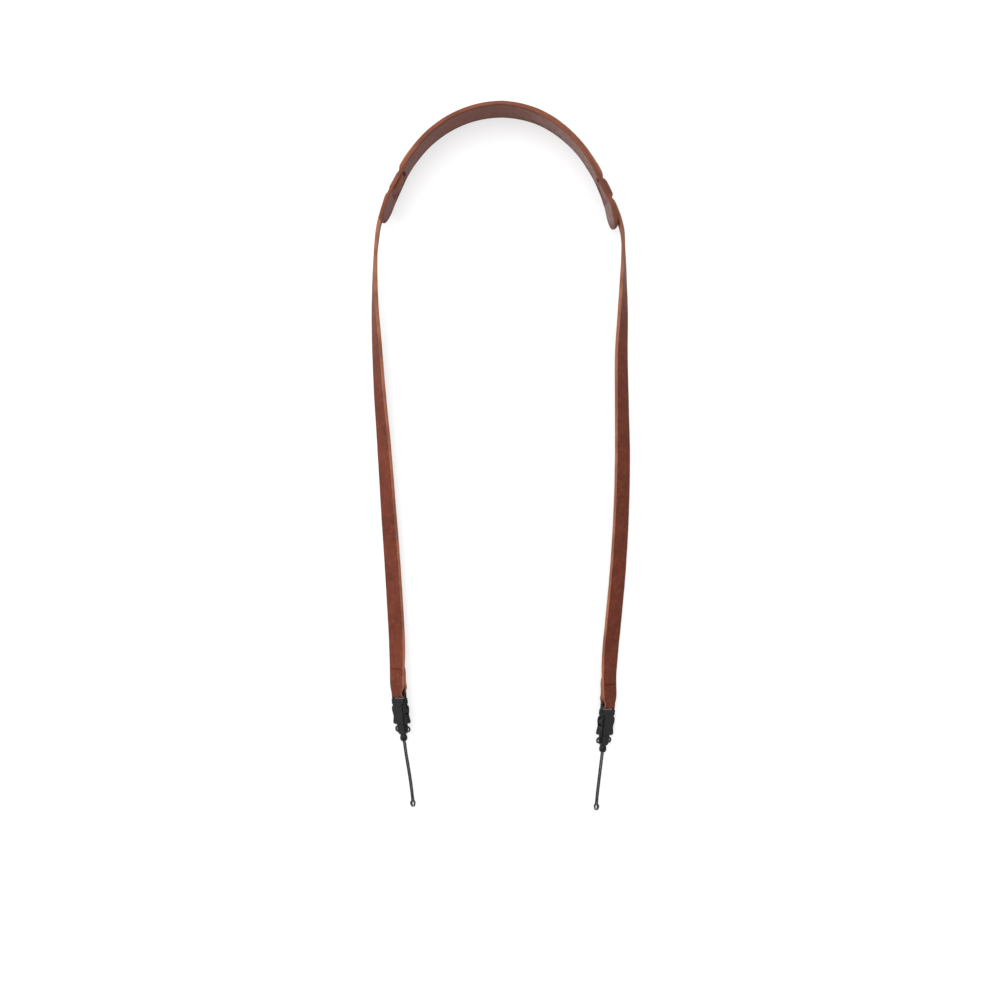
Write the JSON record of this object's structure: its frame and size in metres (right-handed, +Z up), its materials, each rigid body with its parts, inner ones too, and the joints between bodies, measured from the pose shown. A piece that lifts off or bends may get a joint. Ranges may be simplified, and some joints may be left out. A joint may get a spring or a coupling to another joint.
{
  "type": "camera neck strap",
  "caption": "Leather neck strap with a curved neck pad, a long woven-through strap, side release buckles and cord loops.",
  "frame": {"origin": "on the table under the middle of the strap, pad and buckles", "axes": "+Y along the loop towards the neck pad, +X across the loop, +Z up from the table"},
  "size_m": [0.17, 0.462, 0.031],
  "materials": {
    "pad_leather": "smooth vegetable tanned, satin",
    "strap_leather": "smooth vegetable tanned, satin, burnished edges",
    "buckle_plastic": "moulded, satin",
    "cord_braid": "braided"
  },
  "bodies": {
    "root": {"neck_pad": "pad_leather", "strap": "strap_leather", "left_socket": "buckle_plastic", "right_socket": "buckle_plastic", "left_clip": "buckle_plastic", "right_clip": "buckle_plastic", "left_cord": "cord_braid", "right_cord": "cord_braid"}
  },
  "joints": []
}
